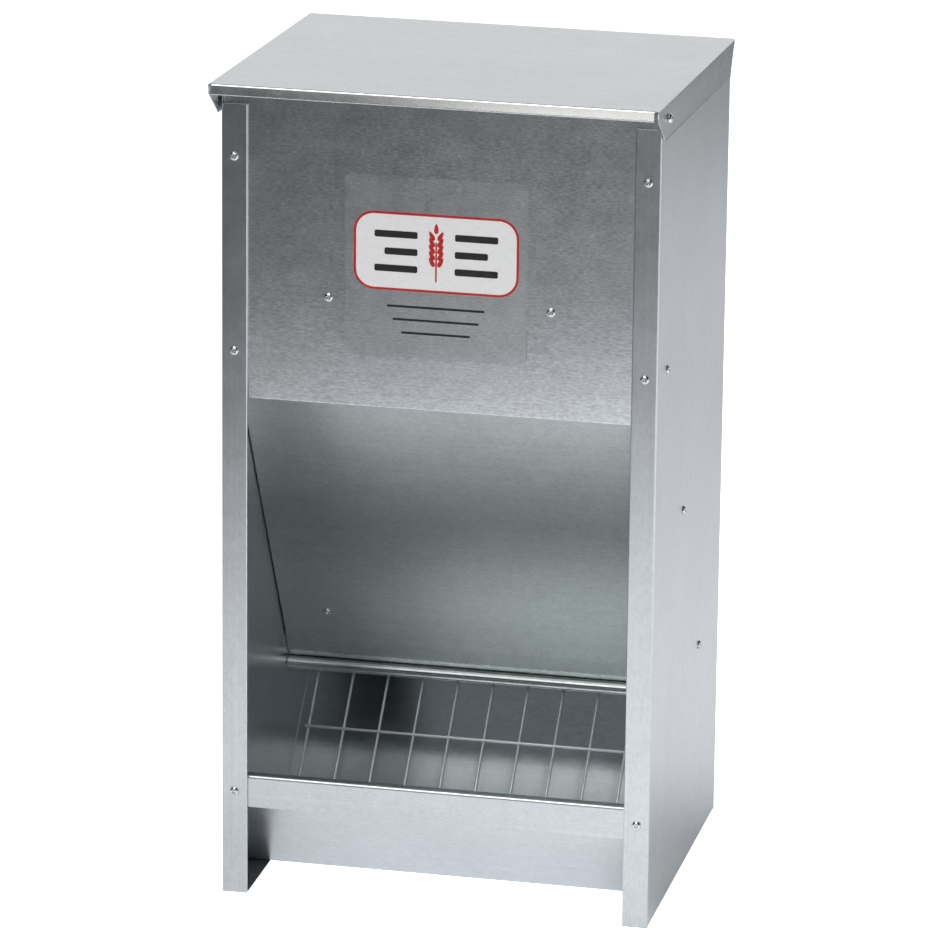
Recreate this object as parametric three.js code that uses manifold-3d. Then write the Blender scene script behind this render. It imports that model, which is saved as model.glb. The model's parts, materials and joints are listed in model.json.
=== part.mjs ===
// A gravity feeder for poultry, folded and riveted from thin galvanised sheet.
//
// Two C-shaped side panels stand on the ground. Between them sit a front panel and a back
// panel, which make the upper half of the hopper, and a sloping baffle, which narrows it
// towards the back. Feed slides down behind the baffle, under its rolled edge and into the
// trough, where a wire grid lies along the slope of the feed. A lid covers the hopper and
// turns on two pins near its front corners.
//
// Millimetres, +Z up, the feeder faces -Y. While the pieces are drawn, y = 0 is the front
// face of the side panels' front flanges; the whole group is then moved so that the origin
// is on the ground, below the middle of the lid.
import * as THREE from 'three';
import { mergeVertices } from 'three/addons/utils/BufferGeometryUtils.js';
import Module from 'manifold-3d';

const wasm = await Module();
wasm.setup();

// Driving dimensions
const WIDTH = 305; // over the side panels
const DEPTH = 254; // over the side panels' front and back flanges
const SHEET = 0.8; // sheet thickness
const GAP = 0.3; // clearance between pieces that touch
const FOLD_GAP = 0.4; // inside an edge that is folded flat onto its sheet
const FOLDED = 2 * SHEET + FOLD_GAP; // thickness of such an edge

// Side panels
const FRONT_FLANGE = 18.3; // width of the upright strips that frame the front
const FRONT_RETURN = 16; // width of their inner edges, folded flat behind them
const FRONT_FLANGE_TOP = 570;
const BACK_FLANGE = 13;
const BACK_FLANGE_TOP = 566;
const FOOT_FLANGE = 18.3;
const TOP_CLEARANCE = 0.5; // between the lid's underside and the side panels' top edges

// Lid, drawn flat and then tilted about its pins
const LID_TILT = THREE.MathUtils.degToRad(2.88); // the closed lid falls towards the back
const LID_WIDTH = 309.6;
const LID_AHEAD = 37.1; // from the pins to the front edge, along the lid
const LID_BEHIND = 249.1; // from the pins to the back edge
const LID_RISE = 11.2; // from the pins up to the top face
const LID_END_FLANGE = 7.4; // depth of the front and back flanges
const LID_RETURN = 5; // height of the front flange's lower edge, folded up behind it
const LID_FRONT_RAKE = 1; // how far the side flanges lean back over the front flange's depth
const LID_SIDE_FLANGE = 25;
const LID_FRONT_SLANT = 26.9; // how far a side flange's front end slants back
const LID_BACK_SLANT = 14;
const PIN_Y = 8;
const PIN_Z = 577;

// Front panel
const FRONT_BOTTOM = 361.6;
const FRONT_TOP = 583.5;
const FRONT_HEM = 8; // height of the lower edge, folded up behind the panel

// Back panel
const BACK_TOP = 574.5;

// Baffle
const BAFFLE_BEND_Z = 430; // where it leaves the front panel
const BAFFLE_TAB = 15; // height of the tab above that bend
const BAFFLE_WING = 15; // height of its side flanges
const WING_START = 30; // the side flanges start and end short of the bends
const WING_END = 345;
const BEAD_Y = 187; // middle of the rolled lower edge
const BEAD_Z = 109.5;
const BEAD_RADIUS = 4.6;
const BEAD_TURN = THREE.MathUtils.degToRad(300);
const BEAD_STEPS = 14;

// Trough
const LIP_TOP = 86.9;
const LIP_BOTTOM = 63.9;
const LIP_RETURN = 11; // depth of the ledge folded in behind the lip
const FLOOR_END_Y = 171; // where the floor turns up towards the back
const TROUGH_TAB = 20; // height of the tab riveted to the back panel

// Wire grid, welded with the cross wires on top of the long wires
const WIRE_RADIUS = 1;
const WIRE_PITCH = 25.9;
const WIRE_COUNT = 11;
const CROSS_PITCH = 50.8;
const CROSS_OVERHANG = 2.4; // of a cross wire beyond the outermost long wire
const WELD_DEPTH = 0.3;
const GRID_SLOPE = THREE.MathUtils.degToRad(46.2);
const GRID_MIDDLE_Y = 160.1; // the cross wire that shows in the middle of the grid
const GRID_MIDDLE_Z = 70.2;
const GRID_DOWN = 93; // length of the long wires below that cross wire
const GRID_UP = 53;

// Rivets
const RIVET_RADIUS = 1.6;
const RIVET_HEAD = 3.2;
const RIVET_HEAD_HEIGHT = 2;
const TAIL_RIM = 1; // how far a rivet's set end reaches beyond its shank
const TAIL_HEIGHT = 1.2;
const HOLE_REACH = 5; // a hole is cut this far to each side of its place
const PIN_RADIUS = 2;
const PIN_HEAD = 3.4;
const PIN_HEAD_HEIGHT = 3;
const ROUND_SEGMENTS = 14;
const HEAD_STEPS = 3;
const FRONT_RIVET_X = 143.5;
const FRONT_RIVET_HEIGHTS = [75.3, 396, 533.5];
const BACK_RIVET_X = 145.2;
const PANEL_RIVET_X = 77.6;
const PANEL_RIVET_Z = 438;
const TROUGH_RIVET_Z = 92;
const BAFFLE_RIVET_FIRST = 45.6; // along the baffle from its bend
const BAFFLE_RIVET_PITCH = 141.3;
const BAFFLE_RIVET_RISE = 8.1; // above the baffle's front face
const BAFFLE_FACE_RIVET = { x: -116.5, along: 315 };

// Label
const LABEL_SIZE = 127;
const LABEL_CORNER = 5;
const LABEL_THICK = 0.3;
const LABEL_X = -2.6;
const LABEL_Z = 462.7;

// Heights and depths that follow from the ones above
const HALF = WIDTH / 2;
const INSIDE = HALF - SHEET - GAP; // half the width of what fits between the side panels
const PANEL_FRONT_Y = FOLDED + GAP; // front face of the front panel and of the lip
const PANEL_BACK_Y = DEPTH - SHEET - GAP; // back face of the back panel
const BEHIND_PANEL_Y = PANEL_FRONT_Y + SHEET + GAP;
const AHEAD_OF_BACK_Y = PANEL_BACK_Y - SHEET - GAP;
const FLOOR_Z = SHEET + GAP; // underside of the trough's floor
const STACK = 2 * SHEET + GAP; // two sheets held by a rivet
const FRONT_STACK = FOLDED + GAP + SHEET; // a folded flange and the sheet behind it

// ---------------------------------------------------------------- solids

function solidOf(geometry) {
  const bare = geometry.clone();
  bare.deleteAttribute('normal');
  bare.deleteAttribute('uv');
  const merged = mergeVertices(bare, 1e-4);
  return new wasm.Manifold(new wasm.Mesh({
    numProp: 3,
    vertProperties: Float32Array.from(merged.attributes.position.array),
    triVerts: Uint32Array.from(merged.index.array),
  }));
}

function geometryOf(solid) {
  const mesh = solid.getMesh();
  const geometry = new THREE.BufferGeometry();
  geometry.setAttribute('position', new THREE.BufferAttribute(mesh.vertProperties, 3));
  geometry.setIndex(new THREE.BufferAttribute(mesh.triVerts, 1));
  geometry.computeVertexNormals();
  return geometry;
}

const joined = (solids) => solids.reduce((whole, next) => whole.add(next));

const cut = (solid, holes) => holes.reduce((rest, hole) => rest.subtract(hole), solid);

// A block between two corners
function block(low, high) {
  const size = high.map((value, axis) => value - low[axis]);
  const geometry = new THREE.BoxGeometry(...size);
  geometry.translate(...low.map((value, axis) => value + size[axis] / 2));
  return solidOf(geometry);
}

// A closed outline of (y, z) points, carried across the feeder from one x to another
function across(outline, fromX, toX) {
  const shape = new THREE.Shape(outline);
  const geometry = new THREE.ExtrudeGeometry(shape, { depth: toX - fromX, bevelEnabled: false });
  const turn = new THREE.Matrix4().makeBasis(
    new THREE.Vector3(0, 1, 0),
    new THREE.Vector3(0, 0, 1),
    new THREE.Vector3(1, 0, 0),
  );
  geometry.applyMatrix4(turn);
  geometry.translate(fromX, 0, 0);
  return solidOf(geometry);
}

// The outline of a folded sheet: the path is one face, the other face lies to its left
function foldedOutline(path) {
  const other = path.map((point, i) => {
    const before = path[Math.max(i - 1, 0)];
    const after = path[Math.min(i + 1, path.length - 1)];
    const into = point.clone().sub(before).normalize();
    const out = after.clone().sub(point).normalize();
    const first = i === 0 ? out : into;
    const last = i === path.length - 1 ? into : out;
    const mitre = first.clone().add(last).normalize();
    const left = new THREE.Vector2(-mitre.y, mitre.x);
    return point.clone().addScaledVector(left, SHEET / mitre.dot(first));
  });
  return [...path, ...other.reverse()];
}

// A round bar between two points
function bar(from, to, radius, segments) {
  const run = to.clone().sub(from);
  const geometry = new THREE.CylinderGeometry(radius, radius, run.length(), segments);
  const up = new THREE.Vector3(0, 1, 0);
  geometry.applyQuaternion(new THREE.Quaternion().setFromUnitVectors(up, run.normalize()));
  const middle = from.clone().add(to).multiplyScalar(0.5);
  geometry.translate(middle.x, middle.y, middle.z);
  return solidOf(geometry);
}

// A clearance hole for a rivet or pin, through the sheets around one point
function hole(place, outward, radius = RIVET_RADIUS) {
  const from = place.clone().addScaledVector(outward, -HOLE_REACH);
  const to = place.clone().addScaledVector(outward, HOLE_REACH);
  return bar(from, to, radius + GAP, ROUND_SEGMENTS);
}

function part(name, geometry, colour, roughness, metalness = 0.8) {
  const mesh = new THREE.Mesh(
    geometry,
    new THREE.MeshStandardMaterial({ color: colour, roughness, metalness }),
  );
  mesh.name = name;
  return mesh;
}

// ---------------------------------------------------------------- rivet places

const LEFT = -1;
const RIGHT = 1;
const SIDES = [['left', LEFT], ['right', RIGHT]];
const FORWARD = new THREE.Vector3(0, -1, 0);
const BACKWARD = new THREE.Vector3(0, 1, 0);
const sideways = (side) => new THREE.Vector3(side, 0, 0);

// The baffle's face runs from its bend to where it touches the inside of the bead
const bead = new THREE.Vector2(BEAD_Y, BEAD_Z);
const baffleBend = new THREE.Vector2(BEHIND_PANEL_Y, BAFFLE_BEND_Z);
const beadInside = BEAD_RADIUS - SHEET;
const toBead = bead.clone().sub(baffleBend);
const baffleAngle = toBead.angle() + Math.asin(beadInside / toBead.length());
const downBaffle = new THREE.Vector2(Math.cos(baffleAngle), Math.sin(baffleAngle));
const offBaffle = new THREE.Vector2(-downBaffle.y, downBaffle.x); // into the hopper
const baffleLength = toBead.dot(downBaffle);

function onBaffle(x, along, rise) {
  const spot = baffleBend.clone().addScaledVector(downBaffle, along).addScaledVector(offBaffle, rise);
  return new THREE.Vector3(x, spot.x, spot.y);
}

const frontRivets = (side) => FRONT_RIVET_HEIGHTS.map(
  (z) => new THREE.Vector3(side * FRONT_RIVET_X, 0, z),
);

const backRivets = (side) => FRONT_RIVET_HEIGHTS.map(
  (z) => new THREE.Vector3(side * BACK_RIVET_X, DEPTH, z),
);

const baffleRivets = (side) => [0, 1, 2].map((i) => onBaffle(
  side * HALF,
  BAFFLE_RIVET_FIRST + i * BAFFLE_RIVET_PITCH,
  BAFFLE_RIVET_RISE,
));

const panelRivet = (side) => new THREE.Vector3(side * PANEL_RIVET_X, PANEL_FRONT_Y, PANEL_RIVET_Z);

const troughRivet = (side) => new THREE.Vector3(side * PANEL_RIVET_X, PANEL_BACK_Y, TROUGH_RIVET_Z);

const faceRivet = onBaffle(BAFFLE_FACE_RIVET.x, BAFFLE_FACE_RIVET.along, 0);

const lidPin = (side) => new THREE.Vector3(side * LID_WIDTH / 2, PIN_Y, PIN_Z);

// ---------------------------------------------------------------- sheet pieces

// A side: the sheet, and flanges folded inwards at the front, the back and the foot. The
// front flange's own edge is folded flat behind it, which makes it safe to touch.
function sidePanel(side) {
  const alongLid = new THREE.Vector2(Math.cos(LID_TILT), -Math.sin(LID_TILT));
  const offLid = new THREE.Vector2(-alongLid.y, alongLid.x);
  const reach = LID_RISE - SHEET - TOP_CLEARANCE; // stays clear as the lid swings
  const pin = new THREE.Vector2(PIN_Y, PIN_Z);
  const abovePin = pin.clone().addScaledVector(offLid, reach);
  const toBack = (DEPTH - abovePin.x) / alongLid.x;
  const outline = [
    new THREE.Vector2(0, 0),
    new THREE.Vector2(DEPTH, 0),
    abovePin.clone().addScaledVector(alongLid, toBack),
    abovePin,
    new THREE.Vector2(PIN_Y - reach * Math.SQRT1_2, PIN_Z + reach * Math.SQRT1_2),
    new THREE.Vector2(0, PIN_Z + reach / 2),
  ];
  const spans = (from, to) => (side === RIGHT ? [from, to] : [-to, -from]);
  const [sheetLow, sheetHigh] = spans(HALF - SHEET, HALF);
  const strip = (inner, outer, low, high) => {
    const [x0, x1] = spans(inner, outer);
    return block([x0, ...low], [x1, ...high]);
  };
  const flange = (width, low, high) => strip(HALF - width, HALF - SHEET / 2, low, high);
  const frontEdge = HALF - FRONT_FLANGE;
  const whole = joined([
    across(outline, sheetLow, sheetHigh),
    flange(FRONT_FLANGE, [0, 0], [SHEET, FRONT_FLANGE_TOP]),
    strip(frontEdge, frontEdge + SHEET, [0, 0], [FOLDED, FRONT_FLANGE_TOP]),
    strip(frontEdge, frontEdge + FRONT_RETURN, [FOLDED - SHEET, 0], [FOLDED, FRONT_FLANGE_TOP]),
    flange(BACK_FLANGE, [DEPTH - SHEET, 0], [DEPTH, BACK_FLANGE_TOP]),
    flange(FOOT_FLANGE, [PANEL_FRONT_Y, 0], [PANEL_BACK_Y, SHEET]),
  ]);
  return geometryOf(cut(whole, [
    ...frontRivets(side).map((place) => hole(place, FORWARD)),
    ...backRivets(side).map((place) => hole(place, BACKWARD)),
    ...baffleRivets(side).map((place) => hole(place, sideways(side))),
    hole(lidPin(side), sideways(side), PIN_RADIUS),
  ]));
}

// The front panel, with its lower edge folded up behind it
function frontPanel() {
  const hemBack = PANEL_FRONT_Y + FOLDED;
  const path = [
    new THREE.Vector2(PANEL_FRONT_Y, FRONT_TOP),
    new THREE.Vector2(PANEL_FRONT_Y, FRONT_BOTTOM),
    new THREE.Vector2(hemBack, FRONT_BOTTOM),
    new THREE.Vector2(hemBack, FRONT_BOTTOM + FRONT_HEM),
  ];
  const upper = (side) => frontRivets(side).filter((place) => place.z > FRONT_BOTTOM);
  return geometryOf(cut(across(foldedOutline(path), -INSIDE, INSIDE), [
    ...SIDES.flatMap(([, side]) => upper(side)).map((place) => hole(place, FORWARD)),
    ...SIDES.map(([, side]) => hole(panelRivet(side), FORWARD)),
  ]));
}

function backPanel() {
  const sheet = block([-INSIDE, PANEL_BACK_Y - SHEET, FLOOR_Z], [INSIDE, PANEL_BACK_Y, BACK_TOP]);
  return geometryOf(cut(sheet, [
    ...SIDES.flatMap(([, side]) => backRivets(side)).map((place) => hole(place, BACKWARD)),
    ...SIDES.map(([, side]) => hole(troughRivet(side), BACKWARD)),
  ]));
}

// The baffle: a tab behind the front panel, the slope, a rolled lower edge and side flanges
function baffle() {
  const path = [
    new THREE.Vector2(BEHIND_PANEL_Y, BAFFLE_BEND_Z + BAFFLE_TAB),
    baffleBend,
  ];
  for (let step = 0; step <= BEAD_STEPS; step += 1) {
    const turned = offBaffle.angle() - (BEAD_TURN * step) / BEAD_STEPS;
    const spoke = new THREE.Vector2(Math.cos(turned), Math.sin(turned));
    path.push(bead.clone().addScaledVector(spoke, beadInside));
  }
  const wing = (side) => {
    const edge = side * INSIDE;
    const corners = [[WING_START, 0], [WING_END, 0], [WING_END, BAFFLE_WING], [WING_START, BAFFLE_WING]];
    const outline = corners.map(([along, rise]) => {
      const corner = onBaffle(edge, along, rise);
      return new THREE.Vector2(corner.y, corner.z);
    });
    return across(outline, Math.min(edge, edge - side * SHEET), Math.max(edge, edge - side * SHEET));
  };
  const whole = joined([
    across(foldedOutline(path), -INSIDE, INSIDE),
    ...SIDES.map(([, side]) => wing(side)),
  ]);
  const offFace = new THREE.Vector3(0, offBaffle.x, offBaffle.y);
  return geometryOf(cut(whole, [
    ...SIDES.flatMap(([, side]) => baffleRivets(side).map((place) => hole(place, sideways(side)))),
    ...SIDES.map(([, side]) => hole(panelRivet(side), FORWARD)),
    hole(faceRivet, offFace),
  ]));
}

// The trough: one sheet, from the ledge behind the lip to the tab on the back panel
function trough() {
  const frontRun = LIP_BOTTOM - FLOOR_Z; // the front slopes down at 45 degrees
  const backRise = AHEAD_OF_BACK_Y - FLOOR_END_Y; // and the back slopes up at 45 degrees
  const path = [
    new THREE.Vector2(PANEL_FRONT_Y + LIP_RETURN, LIP_TOP),
    new THREE.Vector2(PANEL_FRONT_Y, LIP_TOP),
    new THREE.Vector2(PANEL_FRONT_Y, LIP_BOTTOM),
    new THREE.Vector2(PANEL_FRONT_Y + frontRun, FLOOR_Z),
    new THREE.Vector2(FLOOR_END_Y, FLOOR_Z),
    new THREE.Vector2(AHEAD_OF_BACK_Y, FLOOR_Z + backRise),
    new THREE.Vector2(AHEAD_OF_BACK_Y, FLOOR_Z + backRise + TROUGH_TAB),
  ];
  return geometryOf(cut(across(foldedOutline(path), -INSIDE, INSIDE), [
    ...SIDES.map(([, side]) => hole(frontRivets(side)[0], FORWARD)),
    ...SIDES.map(([, side]) => hole(troughRivet(side), BACKWARD)),
  ]));
}

// The lid, drawn flat with its pins at the origin
function lid() {
  const half = LID_WIDTH / 2;
  const under = LID_RISE - SHEET;
  const endBottom = LID_RISE - LID_END_FLANGE;
  const sideBottom = LID_RISE - LID_SIDE_FLANGE;
  const endHalf = half - SHEET - 2 * GAP; // the end flanges stop short of the side flanges
  const outline = [
    new THREE.Vector2(-LID_AHEAD, LID_RISE),
    new THREE.Vector2(-LID_AHEAD + LID_FRONT_RAKE, endBottom),
    new THREE.Vector2(-LID_AHEAD + LID_FRONT_SLANT, sideBottom),
    new THREE.Vector2(LID_BEHIND - LID_BACK_SLANT, sideBottom),
    new THREE.Vector2(LID_BEHIND, LID_RISE),
  ];
  const flangeEdges = [[-half, -half + SHEET], [half - SHEET, half]];
  const lidBlock = (halfWidth, low, high) => block([-halfWidth, ...low], [halfWidth, ...high]);
  const foldBack = -LID_AHEAD + FOLDED;
  const whole = joined([
    lidBlock(half, [-LID_AHEAD, under], [LID_BEHIND, LID_RISE]),
    lidBlock(endHalf, [-LID_AHEAD, endBottom], [-LID_AHEAD + SHEET, under]),
    lidBlock(endHalf, [-LID_AHEAD, endBottom], [foldBack, endBottom + SHEET]),
    lidBlock(endHalf, [foldBack - SHEET, endBottom], [foldBack, endBottom + LID_RETURN]),
    lidBlock(endHalf, [LID_BEHIND - SHEET, endBottom], [LID_BEHIND, under]),
    ...flangeEdges.map(([fromX, toX]) => across(outline, fromX, toX)),
  ]);
  const pin = (side) => new THREE.Vector3(side * half, 0, 0);
  return geometryOf(cut(whole, SIDES.map(([, side]) => hole(pin(side), sideways(side), PIN_RADIUS))));
}

// ---------------------------------------------------------------- grid, rivets and label

function wireGrid() {
  const up = new THREE.Vector3(0, Math.cos(GRID_SLOPE), Math.sin(GRID_SLOPE));
  const above = new THREE.Vector3(0, -up.z, up.y);
  const middle = new THREE.Vector3(0, GRID_MIDDLE_Y, GRID_MIDDLE_Z);
  const first = -((WIRE_COUNT - 1) / 2) * WIRE_PITCH;
  const segments = 8;
  const wires = [];
  for (let i = 0; i < WIRE_COUNT; i += 1) {
    const foot = middle.clone().addScaledVector(up, -GRID_DOWN).setX(first + i * WIRE_PITCH);
    const head = foot.clone().addScaledVector(up, GRID_DOWN + GRID_UP);
    wires.push(bar(foot, head, WIRE_RADIUS, segments));
  }
  const halfCross = -first + CROSS_OVERHANG;
  for (const step of [-1, 0, 1]) {
    const centre = middle.clone().addScaledVector(up, step * CROSS_PITCH);
    centre.addScaledVector(above, 2 * WIRE_RADIUS - WELD_DEPTH);
    wires.push(bar(centre.clone().setX(-halfCross), centre.clone().setX(halfCross), WIRE_RADIUS, segments));
  }
  return geometryOf(joined(wires));
}

// A rivet or pin turned about +Y, with y = 0 on the outer face of the sheets it holds. The
// head is a quarter of an ellipse, from its rim to its top.
function fastener(radius, head, headHeight, grip) {
  const tail = -grip - GAP;
  const profile = [
    new THREE.Vector2(0, tail - TAIL_HEIGHT),
    new THREE.Vector2(radius + TAIL_RIM, tail - TAIL_HEIGHT),
    new THREE.Vector2(radius + TAIL_RIM, tail),
    new THREE.Vector2(radius, tail),
    new THREE.Vector2(radius, GAP),
  ];
  for (let step = 0; step <= HEAD_STEPS; step += 1) {
    const angle = (Math.PI / 2) * (step / HEAD_STEPS);
    const reach = step === HEAD_STEPS ? 0 : head * Math.cos(angle);
    profile.push(new THREE.Vector2(reach, GAP + headHeight * Math.sin(angle)));
  }
  return new THREE.LatheGeometry(profile, ROUND_SEGMENTS);
}

function placed(mesh, place, outward) {
  mesh.quaternion.setFromUnitVectors(new THREE.Vector3(0, 1, 0), outward);
  mesh.position.copy(place);
  return mesh;
}

function rivet(name, place, outward, grip = STACK) {
  const geometry = fastener(RIVET_RADIUS, RIVET_HEAD, RIVET_HEAD_HEIGHT, grip);
  return placed(part(name, geometry, 0xc9cdcf, 0.3, 0.9), place, outward);
}

function lidPinMesh(name, side) {
  const grip = LID_WIDTH / 2 - HALF + SHEET;
  const geometry = fastener(PIN_RADIUS, PIN_HEAD, PIN_HEAD_HEIGHT, grip);
  return placed(part(name, geometry, 0xc9cdcf, 0.3, 0.9), lidPin(side), sideways(side));
}

// A square sticker with rounded corners
function label() {
  const half = LABEL_SIZE / 2;
  const inner = half - LABEL_CORNER;
  const shape = new THREE.Shape();
  shape.absarc(inner, inner, LABEL_CORNER, 0, Math.PI / 2);
  shape.absarc(-inner, inner, LABEL_CORNER, Math.PI / 2, Math.PI);
  shape.absarc(-inner, -inner, LABEL_CORNER, Math.PI, 1.5 * Math.PI);
  shape.absarc(inner, -inner, LABEL_CORNER, 1.5 * Math.PI, 2 * Math.PI);
  const settings = { depth: LABEL_THICK, bevelEnabled: false, curveSegments: 4 };
  const geometry = new THREE.ExtrudeGeometry(shape, settings);
  geometry.rotateX(Math.PI / 2);
  geometry.translate(LABEL_X, PANEL_FRONT_Y - GAP, LABEL_Z);
  return geometry;
}

// ---------------------------------------------------------------- assembly

const feeder = new THREE.Group();

for (const [word, side] of SIDES) {
  feeder.add(part(`side_panel_${word}`, sidePanel(side), 0xa9aeb3, 0.42));
}
feeder.add(part('front_panel', frontPanel(), 0x8d9297, 0.42));
feeder.add(part('back_panel', backPanel(), 0x9aa0a4, 0.42));
feeder.add(part('baffle', baffle(), 0x8f9894, 0.4));
feeder.add(part('trough', trough(), 0xb9bdc1, 0.4));
feeder.add(part('wire_grid', wireGrid(), 0xc4c8ca, 0.3, 0.9));
feeder.add(part('label', label(), 0xe4e7e8, 0.35, 0));

const lidMesh = part('lid', lid(), 0xb9bcbe, 0.4);
lidMesh.position.set(0, PIN_Y, PIN_Z);
lidMesh.rotation.x = -LID_TILT;
feeder.add(lidMesh);

for (const [word, side] of SIDES) {
  frontRivets(side).forEach((place, i) => {
    feeder.add(rivet(`front_rivet_${word}_${i + 1}`, place, FORWARD, FRONT_STACK));
  });
  backRivets(side).forEach((place, i) => {
    feeder.add(rivet(`back_rivet_${word}_${i + 1}`, place, BACKWARD));
  });
  baffleRivets(side).forEach((place, i) => {
    feeder.add(rivet(`baffle_side_rivet_${word}_${i + 1}`, place, sideways(side)));
  });
  feeder.add(rivet(`panel_rivet_${word}`, panelRivet(side), FORWARD));
  feeder.add(rivet(`trough_rivet_${word}`, troughRivet(side), BACKWARD));
  feeder.add(lidPinMesh(`lid_pin_${word}`, side));
}

const outOfBaffle = new THREE.Vector3(0, -offBaffle.x, -offBaffle.y);
feeder.add(rivet('baffle_face_rivet', faceRivet, outOfBaffle, SHEET));

// The origin goes below the middle of the lid, which reaches further than the body
const lidFront = PIN_Y - LID_AHEAD * Math.cos(LID_TILT)
  + (LID_RISE - LID_END_FLANGE) * Math.sin(LID_TILT);
const lidBack = PIN_Y + LID_BEHIND * Math.cos(LID_TILT) + LID_RISE * Math.sin(LID_TILT);
feeder.position.y = -(lidFront + lidBack) / 2;

export default feeder;
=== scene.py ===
import json
import math

import bmesh
import bpy
from mathutils import Matrix, Vector


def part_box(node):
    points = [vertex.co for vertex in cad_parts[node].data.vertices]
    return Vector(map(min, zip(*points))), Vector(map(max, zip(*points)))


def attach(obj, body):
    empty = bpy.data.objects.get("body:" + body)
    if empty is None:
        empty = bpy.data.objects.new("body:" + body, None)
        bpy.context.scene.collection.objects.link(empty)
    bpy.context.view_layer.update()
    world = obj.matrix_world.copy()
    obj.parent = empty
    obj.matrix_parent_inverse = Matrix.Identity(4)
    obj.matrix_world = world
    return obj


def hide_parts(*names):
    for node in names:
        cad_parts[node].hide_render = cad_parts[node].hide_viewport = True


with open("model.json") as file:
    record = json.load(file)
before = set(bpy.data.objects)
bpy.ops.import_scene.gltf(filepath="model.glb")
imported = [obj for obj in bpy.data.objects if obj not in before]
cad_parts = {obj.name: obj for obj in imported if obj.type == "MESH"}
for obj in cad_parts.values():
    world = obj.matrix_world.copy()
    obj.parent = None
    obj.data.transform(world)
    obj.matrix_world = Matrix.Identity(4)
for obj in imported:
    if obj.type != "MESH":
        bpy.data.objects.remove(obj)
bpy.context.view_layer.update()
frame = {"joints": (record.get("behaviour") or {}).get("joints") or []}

# Looks of a gravity poultry feeder made of thin galvanised sheet. Metres, in the CAD frame: the
# feeder faces -Y and stands on z = 0. Each CAD piece is replaced by a finer one in the same
# place: sheet with round bends, rolled and folded edges, blind rivets and welded wire.

# ---------------------------------------------------------------- sizes

SHEET = 0.0008
FOLD_GAP = 0.0004  # inside an edge that is folded flat
FOLD_RADIUS = SHEET + FOLD_GAP / 2  # outer radius of such an edge
BEND = 0.0015  # outer radius of an ordinary bend
BEND_STEP = 15  # degrees of bend in one strip of mesh
EDGE_ROUND = 0.00018  # rounding of cut edges
SLIVER = 0.000002  # faces and edges thinner than this are merged away

side_low, side_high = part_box("side_panel_right")
HALF = side_high.x
FRONT = side_low.y
BACK = side_high.y
FRONT_FLANGE = 0.0183
FRONT_RETURN = 0.016
FRONT_FLANGE_TOP = 0.570
BACK_FLANGE = 0.013
BACK_FLANGE_TOP = 0.566
FOOT_FLANGE = 0.0183
FOOT_TRIM = 0.0015  # off both ends of the foot flange
RELIEF = 0.0012  # notch beside the end of a bend

panel_low, panel_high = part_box("front_panel")
INSIDE = panel_high.x  # half the width of what fits between the side panels
FRONT_HEM = 0.008
LEAN = 0.0018  # of the panel's lower edge, backwards
LEAN_HEIGHT = 0.1
LEAN_ROWS = 12

baffle_low, baffle_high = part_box("baffle")
BAFFLE_BEND_Z = 0.430
BEAD_Y = FRONT + 0.187
BEAD_Z = 0.1095
BEAD_INSIDE = 0.0038
BEAD_TURN = 315
WING_START = 0.030
WING_END = 0.345
WING_HEIGHT = 0.015
WING_BEND = 0.0011
WING_TRIM = 0.002

trough_low, trough_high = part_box("trough")
LIP_TOP = 0.0869
LIP_BOTTOM = 0.0639
LIP_RETURN = 0.011
LIP_BEND = 0.0022
LIP_DEGREES = 98  # the ledge behind the lip falls a little towards the back
FLOOR_END_Y = FRONT + 0.171
TROUGH_TAB = 0.020

lid_hinge = frame["joints"][0]["pos_m"]
LID_TILT = math.radians(2.88)
LID_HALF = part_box("lid")[1].x
LID_AHEAD = 0.0371
LID_BEHIND = 0.2491
LID_RISE = 0.0112
LID_END_FLANGE = 0.0074
LID_RETURN = 0.005
LID_FRONT_BEND = 81  # degrees
LID_SIDE_FLANGE = 0.025
LID_SIDE_EDGE = 0.0012  # lowest strip of the side flanges, which turns out a little
LID_SIDE_FLARE = 0.0004
LID_FRONT_RAKE = 0.001
LID_FRONT_SLANT = 0.0269
LID_BACK_SLANT = 0.014
TOP_CLEARANCE = 0.0005
PIN_HOLE = 0.0023
BORE_REACH = 0.004  # of a cutting cylinder, to both sides of the sheet

WIRE_RADIUS = 0.001
WIRE_PITCH = 0.0259
WIRE_COUNT = 11
CROSS_PITCH = 0.0508
CROSS_HEIGHT = 0.0017  # of the cross wires' middles above the long wires'
GRID_SLOPE = math.radians(46.2)
GRID_LENGTH = 0.146
GRID_MIDDLE = 0.093  # from a long wire's foot to the middle cross wire

GAP = 0.0003  # between pieces in the CAD model
HEAD_HEIGHT = 0.002  # of a rivet in the CAD model
TAIL_HEIGHT = 0.0012
FILM = 0.00012  # thickness of the label
FILM_CORNER = 0.005
PRINT = 0.00004  # thickness of one layer of ink
PRINT_RISE = 0.011  # of the printed frame's middle above the film's
FRAME_WIDTH = 0.115
FRAME_HEIGHT = 0.055
FRAME_CORNER = 0.014
FRAME_LINE = 0.0017
EAR_FOOT = -0.006  # from the frame's middle up to the lowest kernels
EAR_TOP = 0.0175
EAR_PITCH = 0.0046
KERNEL_OUT = 0.0031
BAR_START = 0.013  # from the frame's middle to the bars' inner ends
BAR_LENGTHS = (0.030, 0.023, 0.030)
BAR_PITCH = 0.012
LINE_DROP = 0.0385  # from the frame's middle down to the first line below it
LINE_LENGTHS = (0.068, 0.060, 0.048)
LINE_PITCH = 0.0092

# ---------------------------------------------------------------- camera

VIEW_AZIMUTH = math.radians(12.39)
VIEW_ELEVATION = math.radians(16.95)
VIEW_ROLL = math.radians(0.62)
VIEW_DISTANCE = 4.557
VIEW_LENS = 249.7
VIEW_TARGET = Vector((0.0029, FRONT + 0.0915, 0.2946))


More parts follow.
